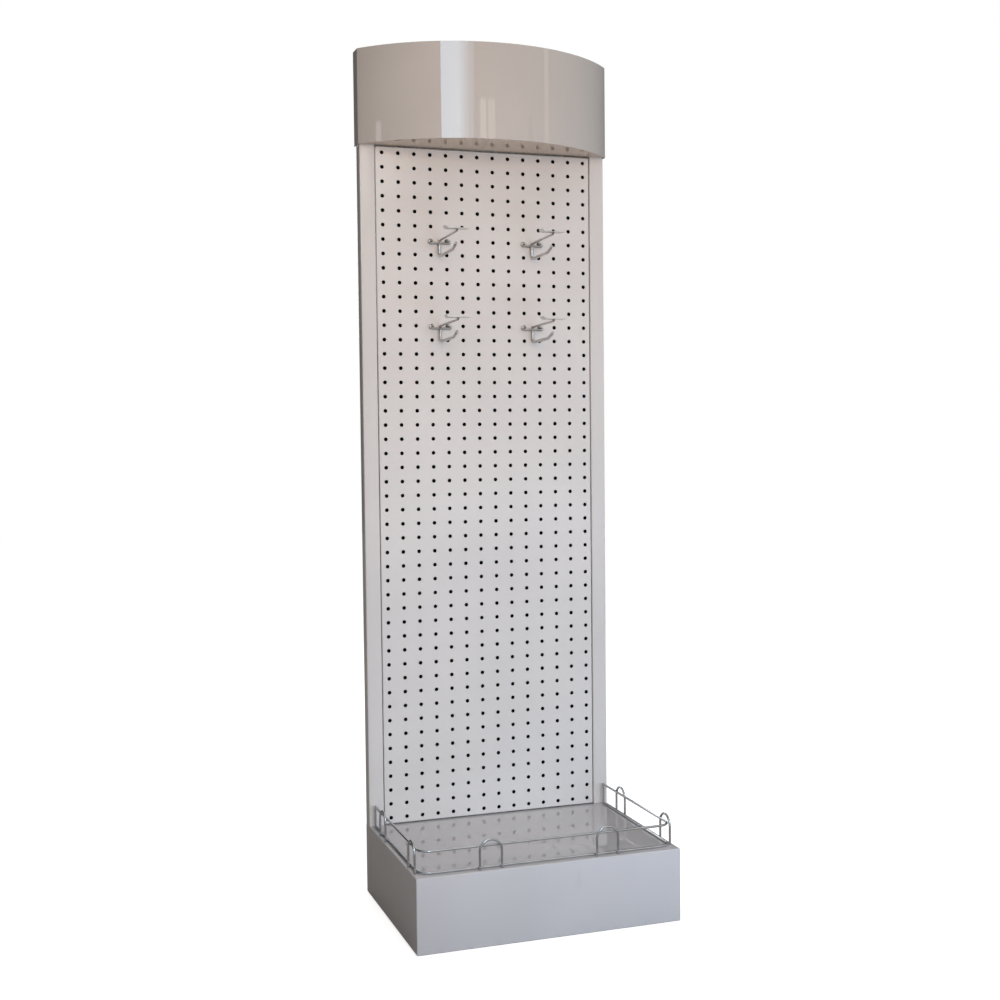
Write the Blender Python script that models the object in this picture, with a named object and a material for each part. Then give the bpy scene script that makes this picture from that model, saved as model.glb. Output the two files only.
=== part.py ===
"""Free-standing pegboard display stand in powder-coated sheet steel.

A perforated panel hangs between two square tubes on a box base. A curved header closes the top, a wire fence
that lifts off stands round the deck, and four wire hooks with label plates tilt out of the panel's holes.

Metres, +Z up. The origin is on the floor under the middle of the base, and the front faces -Y.
"""

import math

import bmesh
import bpy
from mathutils import Matrix, Vector

# Driving dimensions, in metres
FIT_GAP = 0.0003                # left between pieces that touch
SHEET = 0.0012                  # folded sheet steel

HOLE_COLUMNS = 14
HOLE_ROWS = 48
HOLE_PITCH_X = 0.0295
HOLE_PITCH_Z = 0.0254
HOLE_DIAMETER = 0.0070
PUNCHED_ROW_STEP = 6            # the solid carries one row in six, which takes in the hook rows
EDGE_MARGIN = 0.0119            # outer hole centres to the panel's side edges
FOOT_MARGIN = 0.0127            # bottom hole centres to the deck
PANEL_TOP_MARGIN = 0.0105
PANEL_FOOT_GAP = 0.0020
PANEL_HEAD_GAP = 0.0008
PANEL_SIDE_GAP = 0.0016
PANEL_RECESS = 0.0010           # panel face behind the uprights' front faces
PANEL_FLANGE = 0.0100
PANEL_RAIL_DEPTH = 0.0120
PANEL_RAIL_HEIGHT = 0.0140
PANEL_RAIL_WALL = 0.0015
PANEL_RAIL_GAP = 0.0015         # bars behind the panel's folded edge
PANEL_SCREW_TOP_ROW = 3.5       # half way between two hole rows, counted from the top
PANEL_SCREW_ROWS_UP = 5.5       # the lower screws, counted up from the bottom row
PANEL_SCREW_CLEARANCE = 0.0003  # screw head to the panel's back

UPRIGHT_WIDTH = 0.0273
UPRIGHT_DEPTH = 0.0250
UPRIGHT_WALL = 0.0015
SPIGOT_CLEARANCE = 0.0004
SPIGOT_WALL = 0.0020
SPIGOT_RISE = 0.1000            # how far a spigot reaches up into its upright
SPIGOT_BOLT_SETBACK = 0.0040    # bolt behind the upright's middle, clear of the panel's flange
PLUG_DEPTH = 0.0120

BASE_HEIGHT = 0.1260
BASE_DEPTH = 0.3390
BASE_FLANGE = 0.0120
BASE_FLOOR_GAP = 0.0010
BASE_RAIL = 0.0250
BASE_RAIL_WALL = 0.0015
REAR_RAIL_GAP = 0.0030          # rear rail to the back plate
FRONT_RAIL_GAP = 0.0012         # front rail to the cover's folded foot
STIFFENER_HEIGHT = 0.0200
STIFFENER_WIDTH = 0.0600
GLIDE_RADIUS = 0.0100
GLIDE_HEIGHT = 0.0037
GLIDE_INSET = 0.0320            # glide centre to the base's side

HEADER_HEIGHT = 0.1655
HEADER_OVERHANG = 0.0030
HEADER_BULGE = 0.1070
HEADER_CORNER_SETBACK = 0.0040  # fascia corner ahead of the uprights' front faces
HEADER_LIP = 0.0010             # fascia edges stand past the two closing plates
HEADER_ARC_STEPS = 32
BRACKET_THICKNESS = 0.0020
BRACKET_WIDTH = 0.0220
BRACKET_DROP = 0.0700
BRACKET_REACH = 0.0400
BRACKET_SCREW_RISE = 0.0150
UPRIGHT_HEADROOM = 0.0100       # upright's end below the header's top

FENCE_WIRE_RADIUS = 0.0020
FENCE_SIDE_INSET = 0.0100       # rail centre line to the base's side
FENCE_FRONT_INSET = 0.0155
FENCE_RISE = 0.0377             # top rail centre above the deck
FENCE_CORNER_RADIUS = 0.0220
FENCE_POST_GAP = 0.0020         # end post to the upright's face
HOOP_WIDTH = 0.0380
HOOP_RISE = 0.0480              # crown centre above the deck
HOOP_LEG_DEPTH = 0.0150         # leg below the deck's face
HOOP_HOLE_CLEARANCE = 0.0009
HOOP_STEPS = 12
FRONT_HOOP_INSET = 0.1195       # front hoop's middle to the fence's side
SIDE_HOOP_FRONT_INSET = 0.0325  # front side hoop's middle to the fence's front
SIDE_HOOP_REAR_INSET = 0.0730   # rear side hoop's middle to the fence's back end

HOOK_ROWS = {"upper": 7, "lower": 13}
HOOK_LEFT_COLUMN = 4            # a hook spans this column and the next; the right hooks mirror it
SADDLE_WIRE_RADIUS = 0.0020
ARM_WIRE_RADIUS = 0.0026
LABEL_WIRE_RADIUS = 0.0021
SADDLE_DROP = 0.0046            # front bar below the hole centres
SADDLE_STANDOFF = 0.0042        # front bar centre ahead of the panel
SADDLE_BEND_RADIUS = 0.0022     # from the curled end into the hole
PRONG_BEND_RADIUS = 0.0120
PRONG_SWEEP = math.radians(60)
ARM_BEND_RADIUS = 0.0060
ARM_DROP = 0.0280
ARM_REACH = 0.0850
ARM_RISE = 0.0025
TIP_REACH = 0.1070
TIP_DROP = 0.0170
LABEL_ARM_REACH = 0.1130
LABEL_ARM_RISE = 0.0033
LABEL_TIP_RISE = 0.0025
LABEL_PLATE_WIDTH = 0.0400
LABEL_PLATE_DEPTH = 0.0220
LABEL_PLATE_SHEET = 0.0010
LABEL_LIP = 0.0040
LABEL_LIP_LEAN = 0.0035
LABEL_BEND_RADIUS = 0.0024

SCREW_RADIUS = 0.0020
SCREW_HOLE_CLEARANCE = 0.0006
SCREW_HEAD_RADIUS = 0.0038
SCREW_HEAD_HEIGHT = 0.0022
SCREW_REACH = 0.0045            # how far a screw's end passes the seam it closes

ROUND_SIDES = 8                 # facets of holes and screws, and half those of glides
BEND_STEPS = 6

# Places worked out from the sizes above
panel_width = (HOLE_COLUMNS - 1) * HOLE_PITCH_X + 2 * EDGE_MARGIN
half_panel = panel_width / 2
upright_inner = half_panel + PANEL_SIDE_GAP
half_width = upright_inner + UPRIGHT_WIDTH
upright_centre = half_width - UPRIGHT_WIDTH / 2

back = BASE_DEPTH / 2
front = -BASE_DEPTH / 2
upright_front = back - UPRIGHT_DEPTH
upright_mid_y = back - UPRIGHT_DEPTH / 2
panel_front = upright_front + PANEL_RECESS
panel_middle = panel_front + SHEET / 2
panel_flange_end = panel_front + PANEL_FLANGE

deck = BASE_HEIGHT
bottom_row = deck + FOOT_MARGIN
top_row = bottom_row + (HOLE_ROWS - 1) * HOLE_PITCH_Z
panel_bottom = deck + PANEL_FOOT_GAP
panel_top = top_row + PANEL_TOP_MARGIN
header_bottom = panel_top + PANEL_HEAD_GAP
header_top = header_bottom + HEADER_HEIGHT
upright_top = header_top - UPRIGHT_HEADROOM

half_header = half_width + HEADER_OVERHANG
fascia_corner = upright_front - HEADER_CORNER_SETBACK
fascia_radius = (half_header ** 2 + HEADER_BULGE ** 2) / (2 * HEADER_BULGE)
fascia_centre = fascia_corner - HEADER_BULGE + fascia_radius

fence_x = half_width - FENCE_SIDE_INSET
fence_front = front + FENCE_FRONT_INSET
fence_back = upright_front - FENCE_POST_GAP - FENCE_WIRE_RADIUS
fence_low = deck + FENCE_WIRE_RADIUS + FIT_GAP
fence_high = deck + FENCE_RISE
hoop_offset = 2 * FENCE_WIRE_RADIUS + FIT_GAP
hoop_hole_radius = FENCE_WIRE_RADIUS + HOOP_HOLE_CLEARANCE
screw_hole_radius = SCREW_RADIUS + SCREW_HOLE_CLEARANCE


def column_x(column):
    return (column - (HOLE_COLUMNS + 1) / 2) * HOLE_PITCH_X


def row_z(row):
    return top_row - (row - 1) * HOLE_PITCH_Z


# Screw centres: the panel's stand between hole rows, the other two are given as Y and Z
panel_screw_y = panel_front + SHEET + PANEL_SCREW_CLEARANCE + SCREW_HEAD_RADIUS
panel_screw_levels = {"top": row_z(PANEL_SCREW_TOP_ROW), "bottom": row_z(HOLE_ROWS - PANEL_SCREW_ROWS_UP)}
spigot_bolt = (upright_mid_y + SPIGOT_BOLT_SETBACK, deck + SPIGOT_RISE / 2)
header_screw = (upright_mid_y, upright_top - BRACKET_DROP + BRACKET_SCREW_RISE)


# Tools

def clear_scene():
    for item in list(bpy.data.objects):
        bpy.data.objects.remove(item, do_unlink=True)


def finish(name, colour, roughness, metallic):
    material = bpy.data.materials.new(name)
    material.use_nodes = True
    shader = material.node_tree.nodes["Principled BSDF"]
    shader.inputs["Base Color"].default_value = (*colour, 1.0)
    shader.inputs["Roughness"].default_value = roughness
    shader.inputs["Metallic"].default_value = metallic
    material.diffuse_color = (*colour, 1.0)
    return material


def place(item, material, pivot):
    """Links a solid. With a pivot it hangs on that empty, and its own origin lies there too."""
    bpy.context.scene.collection.objects.link(item)
    item.data.materials.append(material)
    if pivot:
        item.data.transform(Matrix.Translation(-pivot.location))
        item.parent = pivot
    return item


def add_mesh(name, form, material, pivot=None):
    """Turns a bmesh into a node with its faces pointing out."""
    bmesh.ops.recalc_face_normals(form, faces=form.faces)
    mesh = bpy.data.meshes.new(name)
    form.to_mesh(mesh)
    form.free()
    return place(bpy.data.objects.new(name, mesh), material, pivot)


def pivot_at(name, place_at):
    pivot = bpy.data.objects.new(name, None)
    pivot.location = place_at
    bpy.context.scene.collection.objects.link(pivot)
    return pivot


def prism(form, outline, low, high, axis="Z"):
    """Extrudes a flat outline. The outline's pairs are XY along Z, XZ along Y and YZ along X."""
    order = {"Z": lambda a, b, c: (a, b, c), "Y": lambda a, b, c: (a, c, b), "X": lambda a, b, c: (c, a, b)}
    rings = [[form.verts.new(order[axis](a, b, level)) for a, b in outline] for level in (low, high)]
    count = len(outline)
    form.faces.new(rings[0][::-1])
    form.faces.new(rings[1])
    for index in range(count):
        after = (index + 1) % count
        form.faces.new((rings[0][index], rings[0][after], rings[1][after], rings[1][index]))


def box(form, low, high):
    prism(form, [(low[0], low[1]), (high[0], low[1]), (high[0], high[1]), (low[0], high[1])], low[2], high[2])


def circle(centre, radius, sides):
    """A ring of points, the first on the first axis."""
    turn = 2 * math.pi / sides
    return [(centre[0] + radius * math.cos(turn * step), centre[1] + radius * math.sin(turn * step))
            for step in range(sides)]


def combine(item, form, operation):
    """Takes the shapes in a bmesh out of a solid, or joins them to it."""
    bmesh.ops.recalc_face_normals(form, faces=form.faces)
    mesh = bpy.data.meshes.new(item.name + "_tool")
    form.to_mesh(mesh)
    form.free()
    cutter = bpy.data.objects.new(item.name + "_tool", mesh)
    cutter.hide_render = True
    cutter.display_type = "WIRE"
    bpy.context.scene.collection.objects.link(cutter)
    if item.parent:
        mesh.transform(Matrix.Translation(-item.parent.location))
        cutter.parent = item.parent
    boolean = item.modifiers.new(operation.lower(), "BOOLEAN")
    boolean.operation = operation
    boolean.solver = "EXACT"
    boolean.object = cutter


def cut(item, form):
    combine(item, form, "DIFFERENCE")


def box_tube(name, low, high, wall, axis, material):
    """A rectangular tube that is open at both ends along one axis."""
    form = bmesh.new()
    box(form, low, high)
    tube = add_mesh(name, form, material)
    run = "XYZ".index(axis)
    inner_low = [value + wall for value in low]
    inner_high = [value - wall for value in high]
    inner_low[run] = low[run] - wall
    inner_high[run] = high[run] + wall
    form = bmesh.new()
    box(form, inner_low, inner_high)
    cut(tube, form)
    return tube


def rounded(corners, radius):
    """A path through corners, each inner corner rounded with an arc of the radius."""
    corners = [Vector(corner) for corner in corners]
    path = [corners[0]]
    for before, corner, after in zip(corners, corners[1:], corners[2:]):
        inward = (before - corner).normalized()
        outward = (after - corner).normalized()
        half_angle = inward.angle(outward) / 2
        reach = radius / math.tan(half_angle)
        centre = corner + (inward + outward).normalized() * radius / math.sin(half_angle)
        start = corner + inward * reach - centre
        end = corner + outward * reach - centre
        sweep = start.angle(end)
        for step in range(BEND_STEPS + 1):
            share = step / BEND_STEPS
            first = math.sin((1 - share) * sweep) / math.sin(sweep)
            second = math.sin(share * sweep) / math.sin(sweep)
            path.append(centre + start * first + end * second)
    path.append(corners[-1])
    return path


def wire(name, path, radius, material, pivot=None):
    """A round wire with flat ends along a path."""
    curve = bpy.data.curves.new(name, "CURVE")
    curve.dimensions = "3D"
    curve.bevel_depth = radius
    curve.bevel_resolution = 2
    curve.use_fill_caps = True
    spline = curve.splines.new("POLY")
    spline.points.add(len(path) - 1)
    for point, spot in zip(spline.points, path):
        point.co = (*spot, 1.0)
    return place(bpy.data.objects.new(name, curve), material, pivot)


def screw(name, head_seat, direction, length, material):
    """A pan-head screw. Its head sits FIT_GAP off the seat, and its shank runs along the direction."""
    profile = [(SCREW_RADIUS, length), (SCREW_RADIUS, -FIT_GAP), (SCREW_HEAD_RADIUS, -FIT_GAP),
               (SCREW_HEAD_RADIUS, -FIT_GAP - SCREW_HEAD_HEIGHT)]
    turn = Vector(direction).to_track_quat("Z", "Y").to_matrix().to_4x4()
    form = bmesh.new()
    rings = [[form.verts.new((x, y, depth)) for x, y in circle((0, 0), radius, ROUND_SIDES)]
             for radius, depth in profile]
    form.faces.new(rings[0])
    form.faces.new(rings[-1][::-1])
    for lower, upper in zip(rings, rings[1:]):
        for index in range(ROUND_SIDES):
            after = (index + 1) % ROUND_SIDES
            form.faces.new((lower[index], lower[after], upper[after], upper[index]))
    bmesh.ops.transform(form, matrix=Matrix.Translation(head_seat) @ turn, verts=form.verts)
    return add_mesh(name, form, material)


def arc_points(inset):
    """The header's front curve, moved in by an inset, from left to right."""
    radius = fascia_radius - inset
    end_x = half_header - inset
    half_sweep = math.asin(end_x / radius)
    return [(radius * math.sin(angle), fascia_centre - radius * math.cos(angle))
            for angle in (half_sweep * (2 * step / HEADER_ARC_STEPS - 1)
                          for step in range(HEADER_ARC_STEPS + 1))]


# Base

def build_base(coat, raw_steel, nylon):
    form = bmesh.new()
    box(form, (-half_width, front, BASE_FLOOR_GAP), (half_width, back, deck))
    cover = add_mesh("base_cover", form, coat)
    form = bmesh.new()
    inner_x = half_width - SHEET
    inner_front = front + SHEET
    flange_top = BASE_FLOOR_GAP + SHEET
    box(form, (-inner_x, inner_front, flange_top), (inner_x, back + SHEET, deck - SHEET))
    cut(cover, form)
    form = bmesh.new()
    mouth_x = inner_x - BASE_FLANGE
    box(form, (-mouth_x, inner_front + BASE_FLANGE, 0), (mouth_x, back + SHEET, flange_top + SHEET))
    cut(cover, form)
    form = bmesh.new()
    for leg_x, leg_y in hoop_leg_places():
        prism(form, circle((leg_x, leg_y), hoop_hole_radius, ROUND_SIDES), deck - 2 * SHEET, deck + SHEET)
    slot_x = UPRIGHT_WIDTH / 2 - UPRIGHT_WALL
    slot_y = UPRIGHT_DEPTH / 2 - UPRIGHT_WALL
    for side in (-1, 1):
        middle = side * upright_centre
        box(form, (middle - slot_x, upright_mid_y - slot_y, deck - 2 * SHEET),
            (middle + slot_x, upright_mid_y + slot_y, deck + SHEET))
    cut(cover, form)

    form = bmesh.new()
    box(form, (-inner_x + FIT_GAP, back - SHEET, flange_top + FIT_GAP),
        (inner_x - FIT_GAP, back, deck - SHEET - FIT_GAP))
    add_mesh("base_back", form, coat)

    rail_x = inner_x - 2 * FIT_GAP
    rail_low = GLIDE_HEIGHT + FIT_GAP
    rail_high = rail_low + BASE_RAIL
    rear_rail_y = back - SHEET - REAR_RAIL_GAP - BASE_RAIL
    front_rail_y = inner_front + BASE_FLANGE + FRONT_RAIL_GAP
    for name, rail_y in (("front", front_rail_y), ("rear", rear_rail_y)):
        box_tube(f"base_rail_{name}", (-rail_x, rail_y, rail_low), (rail_x, rail_y + BASE_RAIL, rail_high),
                 BASE_RAIL_WALL, "X", raw_steel)
        for side, side_name in ((-1, "left"), (1, "right")):
            form = bmesh.new()
            centre = (side * (half_width - GLIDE_INSET), rail_y + BASE_RAIL / 2)
            prism(form, circle(centre, GLIDE_RADIUS, 2 * ROUND_SIDES), 0, GLIDE_HEIGHT)
            add_mesh(f"glide_{name}_{side_name}", form, nylon)

    top = deck - SHEET - FIT_GAP
    half = STIFFENER_WIDTH / 2
    outline = [(-half, top), (-half, top - STIFFENER_HEIGHT), (half, top - STIFFENER_HEIGHT), (half, top),
               (half - SHEET, top), (half - SHEET, top - STIFFENER_HEIGHT + SHEET),
               (SHEET - half, top - STIFFENER_HEIGHT + SHEET), (SHEET - half, top)]
    form = bmesh.new()
    prism(form, outline, -rail_x, rail_x, "X")
    add_mesh("deck_stiffener", form, raw_steel)

    spigot_x = UPRIGHT_WIDTH / 2 - UPRIGHT_WALL - SPIGOT_CLEARANCE
    spigot_y = UPRIGHT_DEPTH / 2 - UPRIGHT_WALL - SPIGOT_CLEARANCE
    for side, side_name in ((-1, "left"), (1, "right")):
        middle = side * upright_centre
        spigot = box_tube(f"spigot_{side_name}",
                          (middle - spigot_x, upright_mid_y - spigot_y, rail_high + FIT_GAP),
                          (middle + spigot_x, upright_mid_y + spigot_y, deck + SPIGOT_RISE),
                          SPIGOT_WALL, "Z", raw_steel)
        form = bmesh.new()
        prism(form, circle(spigot_bolt, screw_hole_radius, ROUND_SIDES),
              *sorted((side * upright_inner, side * upright_centre)), "X")
        cut(spigot, form)


# Uprights

def build_uprights(coat, raw_steel, nylon):
    for side, side_name in ((-1, "left"), (1, "right")):
        middle = side * upright_centre
        half = UPRIGHT_WIDTH / 2
        upright = box_tube(f"upright_{side_name}", (middle - half, upright_front, deck + FIT_GAP),
                           (middle + half, back, upright_top), UPRIGHT_WALL, "Z", coat)
        inner_wall = sorted((side * (upright_inner - SHEET), side * (upright_inner + 2 * UPRIGHT_WALL)))
        form = bmesh.new()
        for level in panel_screw_levels.values():
            prism(form, circle((panel_screw_y, level), screw_hole_radius, ROUND_SIDES), *inner_wall, "X")
        for spot in (spigot_bolt, header_screw):
            prism(form, circle(spot, screw_hole_radius, ROUND_SIDES), *inner_wall, "X")
        cut(upright, form)

        bolt_seat = (side * upright_inner, *spigot_bolt)
        bolt_length = UPRIGHT_WALL + SPIGOT_CLEARANCE + SCREW_REACH
        screw(f"spigot_bolt_{side_name}", bolt_seat, (side, 0, 0), bolt_length, raw_steel)
        for row_name, level in panel_screw_levels.items():
            seat = (side * (half_panel - SHEET), panel_screw_y, level)
            length = SHEET + PANEL_SIDE_GAP + SCREW_REACH
            screw(f"panel_screw_{row_name}_{side_name}", seat, (side, 0, 0), length, raw_steel)

        plug_x = half - UPRIGHT_WALL - FIT_GAP
        plug_y = UPRIGHT_DEPTH / 2 - UPRIGHT_WALL - FIT_GAP
        form = bmesh.new()
        flange = upright_top + FIT_GAP
        box(form, (middle - half, upright_front, flange), (middle + half, back, flange + SHEET))
        plug = add_mesh(f"upright_plug_{side_name}", form, nylon)
        form = bmesh.new()
        box(form, (middle - plug_x, upright_mid_y - plug_y, flange - PLUG_DEPTH),
            (middle + plug_x, upright_mid_y + plug_y, flange + SHEET / 2))
        combine(plug, form, "UNION")


# Panel and the bars behind it

def build_panel(coat, raw_steel):
    form = bmesh.new()
    box(form, (-half_panel, panel_front, panel_bottom), (half_panel, panel_flange_end, panel_top))
    panel = add_mesh("peg_panel", form, coat)
    form = bmesh.new()
    box(form, (-half_panel + SHEET, panel_front + SHEET, panel_bottom + SHEET),
        (half_panel - SHEET, panel_flange_end + SHEET, panel_top - SHEET))
    cut(panel, form)
    form = bmesh.new()
    for row in sorted({*range(1, HOLE_ROWS + 1, PUNCHED_ROW_STEP), *HOOK_ROWS.values()}):
        for column in range(1, HOLE_COLUMNS + 1):
            hole = circle((column_x(column), row_z(row)), HOLE_DIAMETER / 2, ROUND_SIDES)
            prism(form, hole, panel_front - SHEET, panel_front + 2 * SHEET, "Y")
    for side in (-1, 1):
        flange = sorted((side * (half_panel - 2 * SHEET), side * (half_panel + SHEET)))
        for level in panel_screw_levels.values():
            prism(form, circle((panel_screw_y, level), screw_hole_radius, ROUND_SIDES), *flange, "X")
    cut(panel, form)

    rail_x = upright_inner - FIT_GAP
    rail_near = panel_flange_end + PANEL_RAIL_GAP
    rail_far = rail_near + PANEL_RAIL_DEPTH
    middle_z = (row_z(HOLE_ROWS / 2) + row_z(HOLE_ROWS / 2 + 1)) / 2
    for name, low in (("top", header_bottom + FIT_GAP), ("middle", middle_z - PANEL_RAIL_HEIGHT / 2),
                      ("bottom", deck + FIT_GAP)):
        box_tube(f"panel_rail_{name}", (-rail_x, rail_near, low), (rail_x, rail_far, low + PANEL_RAIL_HEIGHT),
                 PANEL_RAIL_WALL, "X", raw_steel)


# Header

def build_header(coat, raw_steel):
    outer = [(-half_header, back), *arc_points(0), (half_header, back)]
    inner = [(-half_header + SHEET, back), *arc_points(SHEET), (half_header - SHEET, back)]
    form = bmesh.new()
    prism(form, outer + inner[::-1], header_bottom, header_top)
    add_mesh("header_fascia", form, coat)

    inset = SHEET + FIT_GAP
    plate_x = half_header - inset
    form = bmesh.new()
    under_back = upright_front - FIT_GAP
    low = header_bottom + HEADER_LIP
    prism(form, [(-plate_x, under_back), *arc_points(inset), (plate_x, under_back)], low, low + SHEET)
    add_mesh("header_underside", form, coat)
    form = bmesh.new()
    high = header_top - HEADER_LIP
    prism(form, [(-plate_x, back), *arc_points(inset), (plate_x, back)], high - SHEET, high)
    add_mesh("header_top", form, coat)

    bracket_top = high - SHEET - FIT_GAP
    bracket_foot = upright_top - BRACKET_DROP
    for side, side_name in ((-1, "left"), (1, "right")):
        face = side * (upright_inner - FIT_GAP)
        inside = face - side * BRACKET_THICKNESS
        reach = face - side * BRACKET_REACH
        outline = [(face, bracket_foot), (face, bracket_top), (reach, bracket_top),
                   (reach, bracket_top - BRACKET_THICKNESS), (inside, bracket_top - BRACKET_THICKNESS),
                   (inside, bracket_foot)]
        form = bmesh.new()
        prism(form, outline, upright_mid_y - BRACKET_WIDTH / 2, upright_mid_y + BRACKET_WIDTH / 2, "Y")
        bracket = add_mesh(f"header_bracket_{side_name}", form, raw_steel)
        form = bmesh.new()
        prism(form, circle(header_screw, screw_hole_radius, ROUND_SIDES),
              *sorted((inside - side * SHEET, face + side * SHEET)), "X")
        cut(bracket, form)
        seat = (inside, *header_screw)
        length = BRACKET_THICKNESS + SCREW_REACH
        screw(f"header_screw_{side_name}", seat, (side, 0, 0), length, raw_steel)


# Fence: two rails, two end posts and six hoops whose legs plug into the deck

def hoops():
    """Name, middle and direction across of each hoop."""
    places = []
    for side, side_name in ((-1, "left"), (1, "right")):
        front_x = side * (fence_x - FRONT_HOOP_INSET)
        places.append((f"hoop_front_{side_name}", (front_x, fence_front - hoop_offset), (1, 0)))
        for end_name, end_y in (("front", fence_front + SIDE_HOOP_FRONT_INSET),
                                ("rear", fence_back - SIDE_HOOP_REAR_INSET)):
            places.append((f"hoop_{side_name}_{end_name}", (side * (fence_x + hoop_offset), end_y), (0, 1)))
    return places


def hoop_leg_places():
    half = HOOP_WIDTH / 2
    return [(middle[0] + sign * half * across[0], middle[1] + sign * half * across[1])
            for _, middle, across in hoops() for sign in (-1, 1)]


def build_fence(zinc):
    pivot = pivot_at("fence_lift", (0, fence_front, fence_low))
    for name, level in (("top", fence_high), ("bottom", fence_low)):
        corners = [(-fence_x, fence_back, level), (-fence_x, fence_front, level),
                   (fence_x, fence_front, level), (fence_x, fence_back, level)]
        wire(f"fence_{name}_rail", rounded(corners, FENCE_CORNER_RADIUS), FENCE_WIRE_RADIUS, zinc, pivot)
    post_clear = FENCE_WIRE_RADIUS + FIT_GAP
    for side, side_name in ((-1, "left"), (1, "right")):
        spot = (side * fence_x, fence_back - FENCE_WIRE_RADIUS)
        path = [(*spot, fence_low + post_clear), (*spot, fence_high - post_clear)]
        wire(f"fence_post_{side_name}", path, FENCE_WIRE_RADIUS, zinc, pivot)
    half = HOOP_WIDTH / 2
    spring = deck + HOOP_RISE - half
    for name, middle, across in hoops():
        outline = [(-half, deck - HOOP_LEG_DEPTH)]
        for step in range(HOOP_STEPS + 1):
            angle = math.pi * step / HOOP_STEPS
            outline.append((-half * math.cos(angle), spring + half * math.sin(angle)))
        outline.append((half, deck - HOOP_LEG_DEPTH))
        path = [(middle[0] + shift * across[0], middle[1] + shift * across[1], level)
                for shift, level in outline]
        wire(name, path, FENCE_WIRE_RADIUS, zinc, pivot)


# Hooks: each turns up about the bend of its prongs until they leave the holes

def saddle_path(middle_x, hole_z):
    """The front bar, its ends curled up and back through the holes, then up behind the panel."""
    half_span = HOLE_PITCH_X / 2
    bar_y = panel_front - SADDLE_STANDOFF
    curl_radius = SADDLE_DROP / 2
    curl_x = half_span + SADDLE_BEND_RADIUS
    right = []
    for step in range(BEND_STEPS + 1):
        angle = math.pi * step / BEND_STEPS
        right.append((curl_x + curl_radius * math.sin(angle), bar_y,
                      hole_z - curl_radius * (1 + math.cos(angle))))
    for step in range(1, BEND_STEPS // 2 + 1):
        angle = math.pi * step / BEND_STEPS
        right.append((curl_x - SADDLE_BEND_RADIUS * math.sin(angle),
                      bar_y + SADDLE_BEND_RADIUS * (1 - math.cos(angle)), hole_z))
    for step in range(BEND_STEPS + 1):
        angle = PRONG_SWEEP * step / BEND_STEPS
        right.append((half_span, panel_middle + PRONG_BEND_RADIUS * math.sin(angle),
                      hole_z + PRONG_BEND_RADIUS * (1 - math.cos(angle))))
    left = [(-x, y, z) for x, y, z in reversed(right)]
    return [(middle_x + x, y, z) for x, y, z in left + right]


def build_hook(row_name, side_name, middle_x, zinc):
    hole_z = row_z(HOOK_ROWS[row_name])
    name = f"hook_{row_name}_{side_name}"
    pivot = pivot_at(f"{name}_tilt", (middle_x, panel_middle, hole_z + PRONG_BEND_RADIUS))
    wire(f"{name}_saddle", saddle_path(middle_x, hole_z), SADDLE_WIRE_RADIUS, zinc, pivot)

    bar_z = hole_z - SADDLE_DROP
    leg_y = panel_front - ARM_WIRE_RADIUS - SADDLE_WIRE_RADIUS - FIT_GAP
    corners = [(middle_x, leg_y, bar_z - SADDLE_WIRE_RADIUS - FIT_GAP), (middle_x, leg_y, hole_z - ARM_DROP),
               (middle_x, panel_front - ARM_REACH, hole_z - ARM_DROP + ARM_RISE),
               (middle_x, panel_front - TIP_REACH, hole_z - TIP_DROP)]
    wire(f"{name}_arm", rounded(corners, ARM_BEND_RADIUS), ARM_WIRE_RADIUS, zinc, pivot)

    start_z = bar_z + SADDLE_WIRE_RADIUS + LABEL_WIRE_RADIUS + 2 * FIT_GAP
    end_y = panel_front - LABEL_ARM_REACH
    end_z = hole_z + LABEL_ARM_RISE
    corners = [(middle_x, panel_front - LABEL_WIRE_RADIUS, start_z), (middle_x, end_y, end_z),
               (middle_x, end_y, end_z + LABEL_TIP_RISE)]
    wire(f"{name}_label_arm", rounded(corners, LABEL_BEND_RADIUS), LABEL_WIRE_RADIUS, zinc, pivot)

    half = LABEL_PLATE_WIDTH / 2
    low = end_z + LABEL_TIP_RISE + FIT_GAP
    high = low + LABEL_PLATE_SHEET
    outline = [(middle_x - half, low), (middle_x + half, low), (middle_x + half, high),
               (middle_x - half + LABEL_PLATE_SHEET / 2, high),
               (middle_x - half - LABEL_LIP_LEAN + LABEL_PLATE_SHEET, high + LABEL_LIP),
               (middle_x - half - LABEL_LIP_LEAN, high + LABEL_LIP)]
    form = bmesh.new()
    prism(form, outline, end_y - LABEL_PLATE_DEPTH / 2, end_y + LABEL_PLATE_DEPTH / 2, "Y")
    add_mesh(f"{name}_label_plate", form, zinc, pivot)


def build_hooks(zinc):
    left_x = (column_x(HOOK_LEFT_COLUMN) + column_x(HOOK_LEFT_COLUMN + 1)) / 2
    for row_name in HOOK_ROWS:
        build_hook(row_name, "left", left_x, zinc)
        build_hook(row_name, "right", -left_x, zinc)


clear_scene()
coat_finish = finish("powder_coat", (0.56, 0.55, 0.55), 0.35, 0.0)
steel_finish = finish("galvanised_steel", (0.55, 0.56, 0.57), 0.45, 0.9)
zinc_finish = finish("zinc_wire", (0.62, 0.63, 0.65), 0.25, 1.0)
nylon_finish = finish("black_nylon", (0.03, 0.03, 0.03), 0.6, 0.0)
build_base(coat_finish, steel_finish, nylon_finish)
build_uprights(coat_finish, steel_finish, nylon_finish)
build_panel(coat_finish, steel_finish)
build_header(coat_finish, steel_finish)
build_fence(zinc_finish)
build_hooks(zinc_finish)
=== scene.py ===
import math

import bmesh
import bpy
from mathutils import Matrix, Vector


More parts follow.
